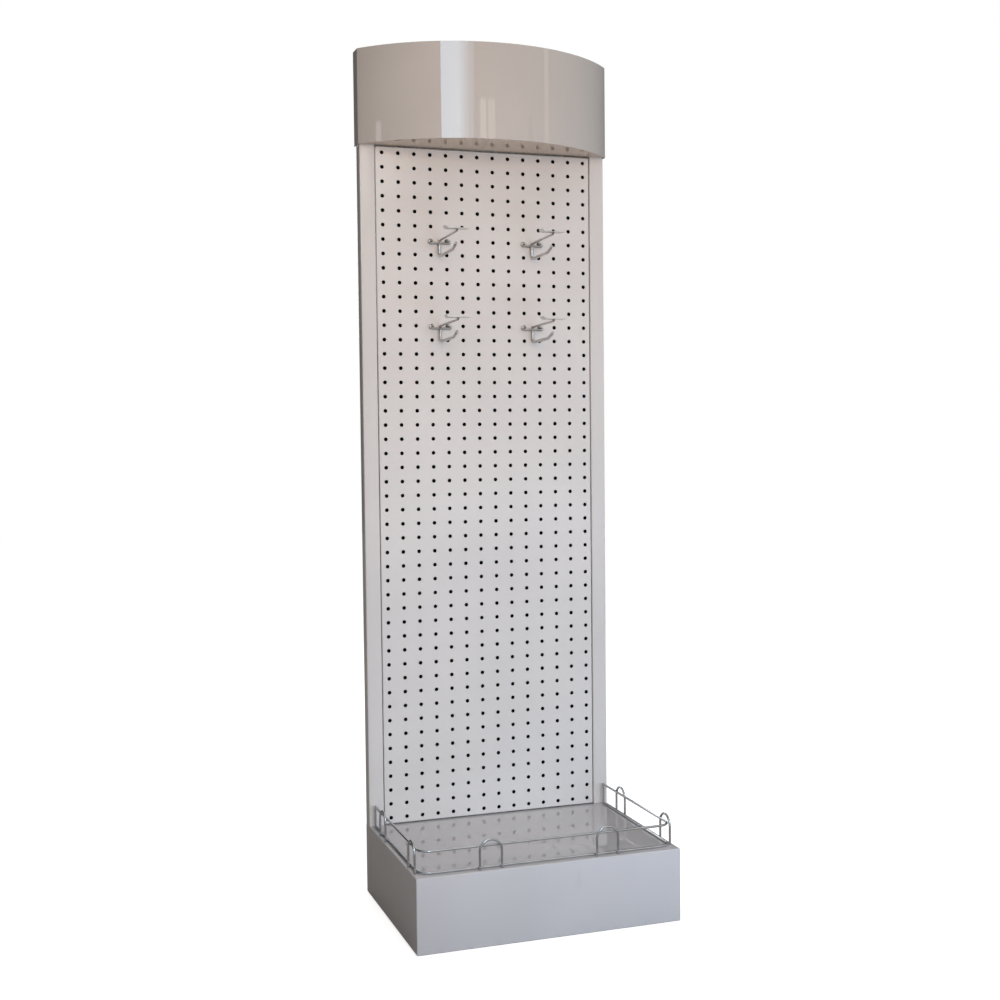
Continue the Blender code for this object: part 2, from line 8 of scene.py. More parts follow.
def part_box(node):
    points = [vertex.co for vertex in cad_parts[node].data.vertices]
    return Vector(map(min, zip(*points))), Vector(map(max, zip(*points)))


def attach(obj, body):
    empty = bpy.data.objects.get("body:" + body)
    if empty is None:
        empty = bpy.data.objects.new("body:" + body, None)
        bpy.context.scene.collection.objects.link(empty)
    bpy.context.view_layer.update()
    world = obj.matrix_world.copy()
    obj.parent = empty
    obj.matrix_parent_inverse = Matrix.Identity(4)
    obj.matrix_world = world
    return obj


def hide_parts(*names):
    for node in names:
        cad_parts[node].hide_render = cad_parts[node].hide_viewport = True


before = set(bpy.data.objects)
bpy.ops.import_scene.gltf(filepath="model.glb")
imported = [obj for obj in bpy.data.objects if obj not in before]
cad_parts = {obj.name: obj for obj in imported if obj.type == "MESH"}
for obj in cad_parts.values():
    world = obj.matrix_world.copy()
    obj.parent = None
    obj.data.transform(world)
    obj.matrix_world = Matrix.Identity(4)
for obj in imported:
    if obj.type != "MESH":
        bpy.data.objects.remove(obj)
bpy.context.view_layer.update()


# ---------------------------------------------------------------------------------------------------
# Base cover
# One blank of 1.2 mm steel folded into a deck with three skirts and an inward foot, the corners
# welded and ground, then powder coated. The deck is punched for the fence legs and the two uprights.

SHEET = 0.0012
BASE_BEND = 0.0016
BASE_FLANGE = 0.0120
LEG_HOLE_RADIUS = 0.0029
HOLE_FACETS = 24
FOLD_STEPS = 4
FOLD_LIMIT = math.radians(40)
CREASE = math.radians(30)


def new_material(name):
    """A material with its node tree, its Principled shader and one set of object coordinates."""
    material = bpy.data.materials.new(name)
    material.use_nodes = True
    nodes = material.node_tree.nodes
    coordinates = nodes.new("ShaderNodeTexCoord")
    return material, nodes, material.node_tree.links, nodes["Principled BSDF"], coordinates.outputs["Object"]


def noise(nodes, links, place, scale, detail=2.0, stretch=None):
    """A noise texture in object space, stretched along an axis where the finish has a direction."""
    if stretch:
        mapping = nodes.new("ShaderNodeMapping")
        mapping.inputs["Scale"].default_value = stretch
        links.new(place, mapping.inputs["Vector"])
        place = mapping.outputs["Vector"]
    texture = nodes.new("ShaderNodeTexNoise")
    texture.inputs["Scale"].default_value = scale
    texture.inputs["Detail"].default_value = detail
    links.new(place, texture.inputs["Vector"])
    return texture.outputs["Fac"]


def graded(nodes, links, factor, stops):
    """A colour ramp over a factor. The stops are (position, colour) pairs."""
    ramp = nodes.new("ShaderNodeValToRGB")
    points = ramp.color_ramp.elements
    while len(points) < len(stops):
        points.new(0.5)
    for point, (position, colour) in zip(points, stops):
        point.position = position
        point.color = (*colour, 1.0)
    links.new(factor, ramp.inputs["Fac"])
    return ramp.outputs["Color"]


def spread(nodes, links, factor, low, high, start=0.3, end=0.7):
    """Maps a factor to a plain number between low and high."""
    ranged = nodes.new("ShaderNodeMapRange")
    ranged.inputs["From Min"].default_value = start
    ranged.inputs["From Max"].default_value = end
    ranged.inputs["To Min"].default_value = low
    ranged.inputs["To Max"].default_value = high
    links.new(factor, ranged.inputs["Value"])
    return ranged.outputs["Result"]


def raised(nodes, links, height, shader, distance, strength):
    bump = nodes.new("ShaderNodeBump")
    bump.inputs["Distance"].default_value = distance
    bump.inputs["Strength"].default_value = strength
    links.new(height, bump.inputs["Height"])
    links.new(bump.outputs["Normal"], shader.inputs["Normal"])


def shade(colour, factor):
    return tuple(channel * factor for channel in colour)


def powder_coat(name, colour, gloss=0.015):
    """Semi-gloss powder coat: faint orange peel, a little tone drift and thin patches of handling dull."""
    material, nodes, links, shader, place = new_material(name)
    drift = noise(nodes, links, place, 5.0, 3.0)
    tone = graded(nodes, links, drift, [(0.30, shade(colour, 0.955)), (0.70, shade(colour, 1.03))])
    scuffs = noise(nodes, links, place, 34.0, 5.0, (1.0, 1.0, 0.22))
    marked = nodes.new("ShaderNodeMix")
    marked.data_type = "RGBA"
    marked.blend_type = "MULTIPLY"
    marked.inputs["Factor"].default_value = 1.0
    links.new(tone, marked.inputs["A"])
    links.new(graded(nodes, links, scuffs, [(0.66, (1.0, 1.0, 1.0)), (0.80, (0.93, 0.92, 0.90))]),
              marked.inputs["B"])
    links.new(marked.outputs["Result"], shader.inputs["Base Color"])
    links.new(spread(nodes, links, scuffs, gloss, gloss + 0.05, 0.35, 0.80), shader.inputs["Roughness"])
    shader.inputs["IOR"].default_value = 1.52
    raised(nodes, links, noise(nodes, links, place, 620.0, 1.0), shader, 0.00003, 0.018)
    return material


def sharpen(mesh):
    for face in mesh.polygons:
        face.use_smooth = True
    mesh.set_sharp_from_angle(angle=CREASE)


def make_piece(name, form, material, body, replaced):
    """Turns a bmesh into a piece that rides on a body and stands for its CAD nodes."""
    bmesh.ops.recalc_face_normals(form, faces=form.faces)
    mesh = bpy.data.meshes.new(name)
    form.to_mesh(mesh)
    form.free()
    sharpen(mesh)
    piece = bpy.data.objects.new(name, mesh)
    bpy.context.scene.collection.objects.link(piece)
    mesh.materials.append(material)
    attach(piece, body)
    if replaced:
        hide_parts(*replaced)
    return piece


def settle(piece):
    """Applies a piece's modifiers and drops them."""
    bpy.context.view_layer.update()
    evaluated = piece.evaluated_get(bpy.context.evaluated_depsgraph_get())
    mesh = bpy.data.meshes.new_from_object(evaluated)
    piece.modifiers.clear()
    old = piece.data
    piece.data = mesh
    bpy.data.meshes.remove(old)
    mesh.name = piece.name
    sharpen(mesh)


def loop_at(centre, radius, sides, turn=0.0):
    """A ring of points round a centre, counted from the first axis."""
    return [(centre[0] + radius * math.cos(turn + 2 * math.pi * step / sides),
             centre[1] + radius * math.sin(turn + 2 * math.pi * step / sides)) for step in range(sides)]


def rounded_loop(low, high, radius, steps=4):
    """A rectangle with round corners, as a ring of points."""
    points = []
    for corner_x, corner_y, start in ((high[0], high[1], 0), (low[0], high[1], 1), (low[0], low[1], 2),
                                      (high[0], low[1], 3)):
        centre_x = corner_x - math.copysign(radius, corner_x - (low[0] + high[0]) / 2)
        centre_y = corner_y - math.copysign(radius, corner_y - (low[1] + high[1]) / 2)
        for step in range(steps + 1):
            angle = math.pi / 2 * (start + step / steps)
            points.append((centre_x + radius * math.cos(angle), centre_y + radius * math.sin(angle)))
    return points


def turned(axis, a, b, level):
    """A point of an outline, placed at a level along an axis."""
    return {"X": (level, a, b), "Y": (a, level, b), "Z": (a, b, level)}[axis]


def join_rings(form, rings, capped=True):
    """Faces between each ring of vertices and the next, and over the two end rings where they are capped."""
    for here, there in zip(rings, rings[1:]):
        for index in range(len(here)):
            after = (index + 1) % len(here)
            form.faces.new((here[index], here[after], there[after], there[index]))
    if capped:
        form.faces.new(rings[0][::-1])
        form.faces.new(rings[-1])


def bar(form, outline, low, high, axis):
    """A solid bar: an outline carried along an axis."""
    ends = (low, high)
    join_rings(form, [[form.verts.new(turned(axis, a, b, level)) for a, b in outline] for level in ends])


def punch(piece, form):
    """Cuts the shapes in a bmesh out of a piece."""
    bmesh.ops.recalc_face_normals(form, faces=form.faces)
    mesh = bpy.data.meshes.new("punch")
    form.to_mesh(mesh)
    form.free()
    tool = bpy.data.objects.new("punch", mesh)
    bpy.context.scene.collection.objects.link(tool)
    boolean = piece.modifiers.new("punch", "BOOLEAN")
    boolean.operation = "DIFFERENCE"
    boolean.solver = "EXACT"
    boolean.object = tool
    settle(piece)
    bpy.data.objects.remove(tool, do_unlink=True)
    bpy.data.meshes.remove(mesh)


def fold_sheet(piece, bend, thickness):
    """Rounds the folds of an open shell and gives it the sheet's thickness, inwards."""
    rounding = piece.modifiers.new("fold", "BEVEL")
    rounding.width = bend
    rounding.segments = FOLD_STEPS
    rounding.limit_method = "ANGLE"
    rounding.angle_limit = FOLD_LIMIT
    gauge = piece.modifiers.new("gauge", "SOLIDIFY")
    gauge.thickness = thickness
    gauge.offset = -1.0
    gauge.use_even_offset = True
    gauge.use_quality_normals = True
    settle(piece)


base_low, base_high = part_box("base_cover")
upright_boxes = {side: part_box(f"upright_{side}") for side in ("left", "right")}
HOOPS = ("hoop_front_left", "hoop_front_right", "hoop_left_front", "hoop_left_rear", "hoop_right_front",
         "hoop_right_rear")
WIRE_RADIUS = 0.0020


def leg_places():
    """Where the twelve hoop legs meet the deck."""
    spots = []
    for name in HOOPS:
        low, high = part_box(name)
        if high[0] - low[0] > high[1] - low[1]:
            middle = (low[1] + high[1]) / 2
            spots += [(low[0] + WIRE_RADIUS, middle), (high[0] - WIRE_RADIUS, middle)]
        else:
            middle = (low[0] + high[0]) / 2
            spots += [(middle, low[1] + WIRE_RADIUS), (middle, high[1] - WIRE_RADIUS)]
    return spots


# The base's grey coat, with a slight cool tint that is painted cool light from below.
COAT_BASE_AND_COOL_LIGHT = (0.465, 0.470, 0.490)
base_coat_and_cool_light = powder_coat("coat_base_and_cool_light", COAT_BASE_AND_COOL_LIGHT)

form = bmesh.new()
foot = base_low[2]
deck = base_high[2]
plan = ((base_low[0], base_high[1]), (base_low[0], base_low[1]), (base_high[0], base_low[1]),
        (base_high[0], base_high[1]))
ring_top = [form.verts.new((x, y, deck)) for x, y in plan]
ring_foot = [form.verts.new((v.co.x, v.co.y, foot)) for v in ring_top]
inner_foot = [form.verts.new((x, y, foot)) for x, y in (
    (base_low[0] + BASE_FLANGE, base_high[1]), (base_low[0] + BASE_FLANGE, base_low[1] + BASE_FLANGE),
    (base_high[0] - BASE_FLANGE, base_low[1] + BASE_FLANGE), (base_high[0] - BASE_FLANGE, base_high[1]))]
form.faces.new(ring_top)
for index in range(3):
    form.faces.new((ring_top[index], ring_foot[index], ring_foot[index + 1], ring_top[index + 1]))
    form.faces.new((ring_foot[index], inner_foot[index], inner_foot[index + 1], ring_foot[index + 1]))
base_cover = make_piece("base_cover_folded", form, base_coat_and_cool_light, "stand", ["base_cover"])
fold_sheet(base_cover, BASE_BEND, SHEET)
form = bmesh.new()
for spot in leg_places():
    bar(form, loop_at(spot, LEG_HOLE_RADIUS, HOLE_FACETS), deck - 2 * SHEET, deck + SHEET, "Z")
for low, high in upright_boxes.values():
    bar(form, rounded_loop((low[0] + SHEET, low[1] + SHEET), (high[0] - SHEET, high[1] - SHEET), SHEET),
        deck - 2 * SHEET, deck + SHEET, "Z")
punch(base_cover, form)


# ---------------------------------------------------------------------------------------------------
# Base back, floor rails and deck stiffener
# A flat plate spot-welded into the open back of the cover, two square tubes across the bottom and a
# folded channel under the deck. The tubes and the channel are galvanised stock, left uncoated.

PLATE_EDGE = 0.0003
CUT_EDGE = 0.0004
EDGE_LIMIT = math.radians(50)
FLOOR_RAIL_WALL = 0.0015
FLOOR_RAIL_CORNER = 0.0025
TUBE_RIM = 0.0002
TUBE_CORNER_STEPS = 5
LEAST_INNER_CORNER = 0.0004


def keep_node(name, material, edge):
    """Gives a CAD node its finish and the small radius that its edges have."""
    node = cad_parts[name]
    node.data.materials.clear()
    node.data.materials.append(material)
    rounding = node.modifiers.new("edge", "BEVEL")
    rounding.width = edge
    rounding.segments = 2
    rounding.limit_method = "ANGLE"
    rounding.angle_limit = EDGE_LIMIT


def galvanised(name):
    """Zinc on mill steel: flat spangle grains of slightly different greys over a dull metal."""
    material, nodes, links, shader, place = new_material(name)
    cells = nodes.new("ShaderNodeTexVoronoi")
    cells.inputs["Scale"].default_value = 190.0
    links.new(place, cells.inputs["Vector"])
    greys = [(0.15, (0.42, 0.43, 0.44)), (0.85, (0.62, 0.63, 0.64))]
    links.new(graded(nodes, links, cells.outputs["Color"], greys), shader.inputs["Base Color"])
    grain = noise(nodes, links, place, 420.0, 3.0)
    links.new(spread(nodes, links, grain, 0.34, 0.52), shader.inputs["Roughness"])
    shader.inputs["Metallic"].default_value = 0.9
    raised(nodes, links, grain, shader, 0.00005, 0.20)
    return material


raw_steel = galvanised("galvanised_stock")
keep_node("base_back", base_coat_and_cool_light, PLATE_EDGE)


def square_tube(name, node, axis, wall, radius, material, holes=None):
    """A welded tube with round corners, cut to the length of its CAD node and open at both ends."""
    low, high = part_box(node)
    run = "XYZ".index(axis)
    flat = [index for index in range(3) if index != run]
    outer = rounded_loop([low[index] for index in flat], [high[index] for index in flat], radius,
                         TUBE_CORNER_STEPS)
    inner = rounded_loop([low[index] + wall for index in flat], [high[index] - wall for index in flat],
                         max(radius - wall, LEAST_INNER_CORNER), TUBE_CORNER_STEPS)
    rim = TUBE_RIM
    ease = rim / wall
    edge_ring = [(a + (c - a) * ease, b + (d - b) * ease) for (a, b), (c, d) in zip(outer, inner)]
    inner_edge = [(c + (a - c) * ease, d + (b - d) * ease) for (a, b), (c, d) in zip(outer, inner)]
    start, end = low[run], high[run]
    chain = [(outer, start + rim), (outer, end - rim), (edge_ring, end), (inner_edge, end),
             (inner, end - rim), (inner, start + rim), (inner_edge, start), (edge_ring, start)]
    form = bmesh.new()
    rows = [[form.verts.new(turned(axis, a, b, level)) for a, b in ring] for ring, level in chain]
    join_rings(form, rows + rows[:1], capped=False)
    tube = make_piece(name, form, material, "stand", [node])
    if holes:
        form = bmesh.new()
        for ring, start, end in holes:
            bar(form, ring, start, end, "X")
        punch(tube, form)


for end in ("front", "rear"):
    square_tube(f"floor_rail_{end}", f"base_rail_{end}", "X", FLOOR_RAIL_WALL, FLOOR_RAIL_CORNER, raw_steel)
keep_node("deck_stiffener", raw_steel, CUT_EDGE)


# ---------------------------------------------------------------------------------------------------
# Glides
# Four moulded nylon feet pressed into the floor rails. Each is a turned button with a rounded rim
# and a shallow dish in its sole.

GLIDE_FACETS = 40
GLIDE_DISH = 0.0003
GLIDE_RIM = 0.0009
GLIDE_SHOULDER = 0.0006


def nylon(name):
    """Moulded black nylon: even, slightly waxy, with a fine spark-eroded grain."""
    material, nodes, links, shader, place = new_material(name)
    grain = noise(nodes, links, place, 900.0, 4.0)
    blacks = [(0.3, (0.018, 0.018, 0.019)), (0.7, (0.032, 0.032, 0.033))]
    links.new(graded(nodes, links, noise(nodes, links, place, 60.0), blacks), shader.inputs["Base Color"])
    links.new(spread(nodes, links, grain, 0.42, 0.60), shader.inputs["Roughness"])
    raised(nodes, links, grain, shader, 0.00008, 0.30)
    return material


def lathe(form, profile, centre, axis, sides):
    """Turns (radius, level) pairs round an axis. A zero radius closes the end."""
    rows = []
    for radius, level in profile:
        if radius == 0:
            rows.append([form.verts.new(turned(axis, centre[0], centre[1], level))])
        else:
            circle = loop_at(centre, radius, sides)
            rows.append([form.verts.new(turned(axis, a, b, level)) for a, b in circle])
    for here, there in zip(rows, rows[1:]):
        for index in range(sides):
            after = (index + 1) % sides
            ring = [here[index % len(here)], here[after % len(here)], there[after % len(there)],
                    there[index % len(there)]]
            form.faces.new(list(dict.fromkeys(ring)))


black_nylon = nylon("nylon_black")
for end in ("front", "rear"):
    for side in ("left", "right"):
        low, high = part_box(f"glide_{end}_{side}")
        centre = ((low[0] + high[0]) / 2, (low[1] + high[1]) / 2)
        radius = (high[0] - low[0]) / 2
        height = high[2]
        form = bmesh.new()
        lathe(form, [(0, GLIDE_DISH), (0.55 * radius, GLIDE_DISH), (0.62 * radius, 0), (0.88 * radius, 0),
                     (0.96 * radius, GLIDE_DISH), (radius, GLIDE_RIM), (radius, height - GLIDE_SHOULDER),
                     (radius - GLIDE_SHOULDER, height), (0, height)], centre, "Z", GLIDE_FACETS)
        make_piece(f"foot_{end}_{side}", form, black_nylon, "stand", [f"glide_{end}_{side}"])


# ---------------------------------------------------------------------------------------------------
# Spigots and their bolts
# Square tube stubs welded to the rear rail. They stand up through the deck into the uprights, and
# one bolt on the inner side of each holds the upright down.

SPIGOT_WALL = 0.0020
SPIGOT_CORNER = 0.0024
SCREW_FACETS = 36
SCREW_HEAD = 0.0022
SCREW_SHANK_RADIUS = 0.00195
SCREW_POINT = 0.0006
SOCKET_SHARE = 0.40
SOCKET_LIP = 0.0001
SOCKET_DEPTH = 0.0014


def screw_piece(name, node, outward, material):
    """A pan-head screw with a hexagon socket. outward is the side its head looks to, -1 or 1 along X."""
    low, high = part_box(node)
    centre = ((low[1] + high[1]) / 2, (low[2] + high[2]) / 2)
    head_radius = (high[1] - low[1]) / 2
    end = high[0] - low[0]
    top = high[0] if outward > 0 else low[0]

    def level(depth):
        return top - outward * depth

    form = bmesh.new()
    crown = [(0.50, 0.00000), (0.72, 0.00012), (0.88, 0.00045), (0.97, 0.00100), (1.0, 0.00165),
             (0.98, 0.00210), (0.95, SCREW_HEAD)]
    shank = [(SCREW_SHANK_RADIUS, SCREW_HEAD), (SCREW_SHANK_RADIUS, end - SCREW_POINT),
             (SCREW_SHANK_RADIUS - SCREW_POINT, end), (0, end)]
    profile = [(head_radius * share, depth) for share, depth in crown] + shank
    lathe(form, [(radius, level(depth)) for radius, depth in profile], centre, "X", SCREW_FACETS)
    form.verts.ensure_lookup_table()
    rim = [form.verts[index] for index in range(SCREW_FACETS)]
    socket = []
    for index in range(SCREW_FACETS):
        angle = 2 * math.pi * index / SCREW_FACETS
        reach = SOCKET_SHARE * head_radius / math.cos((angle % (math.pi / 3)) - math.pi / 6)
        socket.append((centre[0] + reach * math.cos(angle), centre[1] + reach * math.sin(angle)))
    lip, well = [[form.verts.new(turned("X", a, b, level(depth))) for a, b in socket]
                 for depth in (SOCKET_LIP, SOCKET_DEPTH)]
    join_rings(form, [rim, lip, well], capped=False)
    form.faces.new(well)
    make_piece(name, form, material, "stand", [node])


for side, outward in (("left", 1), ("right", -1)):
    square_tube(f"spigot_tube_{side}", f"spigot_{side}", "Z", SPIGOT_WALL, SPIGOT_CORNER, raw_steel)
    screw_piece(f"spigot_screw_{side}", f"spigot_bolt_{side}", outward, raw_steel)


# ---------------------------------------------------------------------------------------------------
# Uprights
# Two welded steel tubes, 27 by 25 mm, powder coated. They slip over the spigots and run up inside
# the header. Their inner walls are drilled for the panel, header and spigot screws.

COAT_PANEL = (0.600, 0.597, 0.595)
UPRIGHT_WALL = 0.0015
UPRIGHT_CORNER = 0.0020
SCREW_HOLE_RADIUS = 0.0026
SCREW_HOLE_REACH = 0.0040
upright_coat = powder_coat("coat_uprights", shade(COAT_PANEL, 0.96), 0.07)
SCREW_NODES = ("spigot_bolt", "panel_screw_top", "panel_screw_bottom", "header_screw")
for side in ("left", "right"):
    low, high = upright_boxes[side]
    inner_face = high[0] if side == "left" else low[0]
    holes = []
    for screw in SCREW_NODES:
        screw_low, screw_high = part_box(f"{screw}_{side}")
        centre = ((screw_low[1] + screw_high[1]) / 2, (screw_low[2] + screw_high[2]) / 2)
        holes.append((loop_at(centre, SCREW_HOLE_RADIUS, HOLE_FACETS), inner_face - SCREW_HOLE_REACH,
                      inner_face + SCREW_HOLE_REACH))
    square_tube(f"upright_tube_{side}", f"upright_{side}", "Z", UPRIGHT_WALL, UPRIGHT_CORNER, upright_coat,
                holes)


# ---------------------------------------------------------------------------------------------------
# Upright plugs
# Moulded nylon inserts that close the uprights' upper ends: a low crowned cap on a square shank
# with two shallow grooves, pushed in by hand.

PLUG_CORNER = 0.0012
PLUG_SIDE = 0.0018
PLUG_GROOVE = 0.0022
PLUG_NOSE = 0.0024
for side in ("left", "right"):
    low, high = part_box(f"upright_plug_{side}")
    seat = high[2] - SHEET
    crown = [(0.0040, seat + SHEET), (0.0006, seat + 0.0010), (0.0, seat + 0.0006), (0.0, seat)]
    shank = [(PLUG_SIDE, seat)]
    for groove in (seat - 0.0034, seat - 0.0072):
        shank += [(PLUG_SIDE, groove + 0.0004), (PLUG_GROOVE, groove), (PLUG_SIDE, groove - 0.0004)]
    shank += [(PLUG_SIDE, low[2] + 0.0010), (PLUG_NOSE, low[2])]
    form = bmesh.new()
    rows = []
    for rings, corner in ((crown, UPRIGHT_CORNER), (shank, PLUG_CORNER)):
        for inset, level in rings:
            ring = rounded_loop((low[0] + inset, low[1] + inset), (high[0] - inset, high[1] - inset), corner)
            rows.append([form.verts.new((a, b, level)) for a, b in ring])
    join_rings(form, rows)
    make_piece(f"end_plug_{side}", form, black_nylon, "stand", [f"upright_plug_{side}"])


# ---------------------------------------------------------------------------------------------------
# Peg panel
# One 1.2 mm sheet with 48 rows of 14 round punched holes and a folded edge on all four sides,
# notched at the corners, powder coated. It hangs between the uprights a millimetre behind their faces.

COLUMNS = 14
ROWS = 48
PITCH_X = 0.0295
PITCH_Z = 0.0254
HOLE_RADIUS = 0.0035
HOLE_ROLL = 0.00022
HOLE_SIDES = 20
PANEL_BEND = 0.0016
PANEL_BEND_STEPS = 4
PANEL_TOP_MARGIN = 0.0105
FOLD_EASE = 0.0002
NOTCH = 0.0020
CLOSE = 1e-6
panel_low, panel_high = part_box("peg_panel")
TOP_ROW = panel_high[2] - PANEL_TOP_MARGIN


def column_x(column):
    return (column - (COLUMNS + 1) / 2) * PITCH_X


def row_z(row):
    return TOP_ROW - (row - 1) * PITCH_Z


def panel_grid():
    """The panel's cells, one hole in each: their edge lines along X and Z."""
    edges_x = [panel_low[0] + PANEL_BEND] + [(column_x(c) + column_x(c + 1)) / 2 for c in range(1, COLUMNS)]
    edges_x.append(panel_high[0] - PANEL_BEND)
    edges_z = [panel_low[2] + PANEL_BEND] + [(row_z(r) + row_z(r - 1)) / 2 for r in range(ROWS, 1, -1)]
    edges_z.append(panel_high[2] - PANEL_BEND)
    return edges_x, edges_z


def cell_border(x_low, x_high, z_low, z_high):
    """Points on a cell's edge that match the hole's, starting at the low corner."""
    side = HOLE_SIDES // 4
    corners = [(x_low, z_low), (x_high, z_low), (x_high, z_high), (x_low, z_high)]
    points = []
    for (ax, az), (bx, bz) in zip(corners, corners[1:] + corners[:1]):
        points += [(ax + (bx - ax) * step / side, az + (bz - az) * step / side) for step in range(side)]
    return points


def flange(form, along, fixed, sign, front, start, end):
    """One folded edge as a strip of sheet: round the bend, back along the edge and round its lip."""
    depth = panel_high[1]
    angles = [math.pi / 2 * step / PANEL_BEND_STEPS for step in range(PANEL_BEND_STEPS + 1)]
    outer, inner = [[(radius * math.sin(angle) - PANEL_BEND, front + PANEL_BEND - radius * math.cos(angle))
                     for angle in angles] for radius in (PANEL_BEND, PANEL_BEND - SHEET)]
    lip = [(0, depth - FOLD_EASE), (-FOLD_EASE, depth), (-SHEET + FOLD_EASE, depth),
           (-SHEET, depth - FOLD_EASE)]
    section = outer + lip + inner[::-1]
    rows = []
    for level in (start, end):
        if along == "Z":
            rows.append([form.verts.new((fixed + sign * out, y, level)) for out, y in section])
        else:
            rows.append([form.verts.new((level, y, fixed + sign * out)) for out, y in section])
    for index in range(len(section) - 1):
        form.faces.new((rows[0][index], rows[0][index + 1], rows[1][index + 1], rows[1][index]))
    for row in rows:
        form.faces.new(row)


panel_coat = powder_coat("coat_panel", COAT_PANEL, 0.09)
front = panel_low[1]
form = bmesh.new()
edges_x, edges_z = panel_grid()
start_angle = -3 * math.pi / 4
for r in range(ROWS):
    for c in range(COLUMNS):
        centre = (column_x(c + 1), row_z(ROWS - r))
        border = cell_border(edges_x[c], edges_x[c + 1], edges_z[r], edges_z[r + 1])
        rolled = loop_at(centre, HOLE_RADIUS + HOLE_ROLL, HOLE_SIDES, start_angle)
        hole = loop_at(centre, HOLE_RADIUS, HOLE_SIDES, start_angle)
        chain = [[form.verts.new((x, y, z)) for x, z in ring] for ring, y in (
            (border, front), (rolled, front), (hole, front + HOLE_ROLL), (hole, front + SHEET),
            (border, front + SHEET))]
        join_rings(form, chain, capped=False)
bmesh.ops.remove_doubles(form, verts=form.verts, dist=CLOSE)
border_edges = [e for e in form.edges if len(e.link_faces) == 1]
front_side = [e for e in border_edges if all(abs(v.co.y - front) < CLOSE for v in e.verts)]
back_side = [e for e in border_edges if e not in set(front_side)]
bmesh.ops.bridge_loops(form, edges=front_side + back_side)
make_piece("peg_panel_punched", form, panel_coat, "stand", ["peg_panel"])
form = bmesh.new()
for sign, x in ((-1, panel_low[0]), (1, panel_high[0])):
    flange(form, "Z", x, sign, front, panel_low[2] + NOTCH, panel_high[2] - NOTCH)
for sign, z in ((-1, panel_low[2]), (1, panel_high[2])):
    flange(form, "X", z, sign, front, panel_low[0] + NOTCH, panel_high[0] - NOTCH)
make_piece("peg_panel_folds", form, panel_coat, "stand", [])


# ---------------------------------------------------------------------------------------------------
# Panel bars and screws
# Three tubes between the uprights stop the panel from drumming, and four pan-head screws go through
# its folded edges into the uprights.

BAR_WALL = 0.0015
BAR_CORNER = 0.0018
for level in ("top", "middle", "bottom"):
    square_tube(f"panel_bar_{level}", f"panel_rail_{level}", "X", BAR_WALL, BAR_CORNER, raw_steel)
for side, outward in (("left", 1), ("right", -1)):
    for level in ("top", "bottom"):
        screw_piece(f"panel_fixing_{level}_{side}", f"panel_screw_{level}_{side}", outward, raw_steel)


# ---------------------------------------------------------------------------------------------------
# Header
# A fascia rolled from 1.2 mm sheet, with short square returns, welded to a glossy underside plate
# and a top plate. Two bent brackets screw it to the insides of the uprights.

# The header's grey coat, with a slight warm tint that is painted warm light from above.
COAT_HEADER_AND_WARM_LIGHT = (0.450, 0.438, 0.425)
# The underside plate's grey coat, with a warm brown tint that is painted warm light reflected from the lit
# panel below it.
COAT_UNDERSIDE_AND_WARM_REFLECTION = (0.575, 0.445, 0.335)
header_coat_and_warm_light = powder_coat("coat_header_and_warm_light", COAT_HEADER_AND_WARM_LIGHT)
underside_coat_and_warm_reflection = powder_coat("header_underside_coat_and_warm_reflection", COAT_UNDERSIDE_AND_WARM_REFLECTION)
FASCIA_LEAD = 0.0040
FASCIA_BEND = 0.0030
FASCIA_LEAST_BEND = 0.0006
FASCIA_EDGE = 0.00035
PLATE_GAP = 0.0003
HEADER_PLATE_EDGE = 0.00025
fascia_low, fascia_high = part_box("header_fascia")
HALF_HEADER = fascia_high[0]
FASCIA_CORNER = upright_boxes["left"][0][1] - FASCIA_LEAD
BULGE = FASCIA_CORNER - fascia_low[1]
FASCIA_RADIUS = (HALF_HEADER ** 2 + BULGE ** 2) / (2 * BULGE)
FASCIA_CENTRE = fascia_low[1] + FASCIA_RADIUS
ARC_STEPS = 96


def fascia_line(inset, end_y):
    """The header's outline from its left back end round the front to its right back end."""
    corner_radius = max(FASCIA_BEND - inset, FASCIA_LEAST_BEND)
    radius = FASCIA_RADIUS - inset
    side_x = HALF_HEADER - inset
    reach = math.asin(side_x / radius)
    arc = []
    for step in range(ARC_STEPS + 1):
        angle = reach * (2 * step / ARC_STEPS - 1)
        arc.append(Vector((radius * math.sin(angle), FASCIA_CENTRE - radius * math.cos(angle))))
    left = round_corner(Vector((-side_x, end_y)), arc[0], arc[1], corner_radius)
    right = [Vector((-point.x, point.y)) for point in reversed(left)]
    inside = [point for point in arc[1:-1] if abs(point.x) < abs(left[-1].x) - 0.0005]
    return [Vector((-side_x, end_y))] + left + inside + right + [Vector((side_x, end_y))]


def round_corner(before, corner, after, radius, steps=5):
    inward = (before - corner).normalized()
    outward = (after - corner).normalized()
    half = inward.angle(outward) / 2
    reach = radius / math.tan(half)
    centre = corner + (inward + outward).normalized() * radius / math.sin(half)
    start = corner + inward * reach - centre
    finish = corner + outward * reach - centre
    sweep = start.angle(finish)
    return [centre + start * (math.sin((1 - s / steps) * sweep) / math.sin(sweep))
            + finish * (math.sin(s / steps * sweep) / math.sin(sweep)) for s in range(steps + 1)]


def strip(form, outer, inner, low, high, edge):
    """A standing strip of sheet between two lines, with its four long edges eased."""
    loops = []
    for a, b in zip(outer, inner):
        ease = (b - a).normalized() * edge
        loops.append([(a, low + edge), (a, high - edge), (a + ease, high), (b - ease, high), (b, high - edge),
                      (b, low + edge), (b - ease, low), (a + ease, low)])
    rows = [[form.verts.new((point.x, point.y, level)) for point, level in loop] for loop in loops]
    join_rings(form, rows)


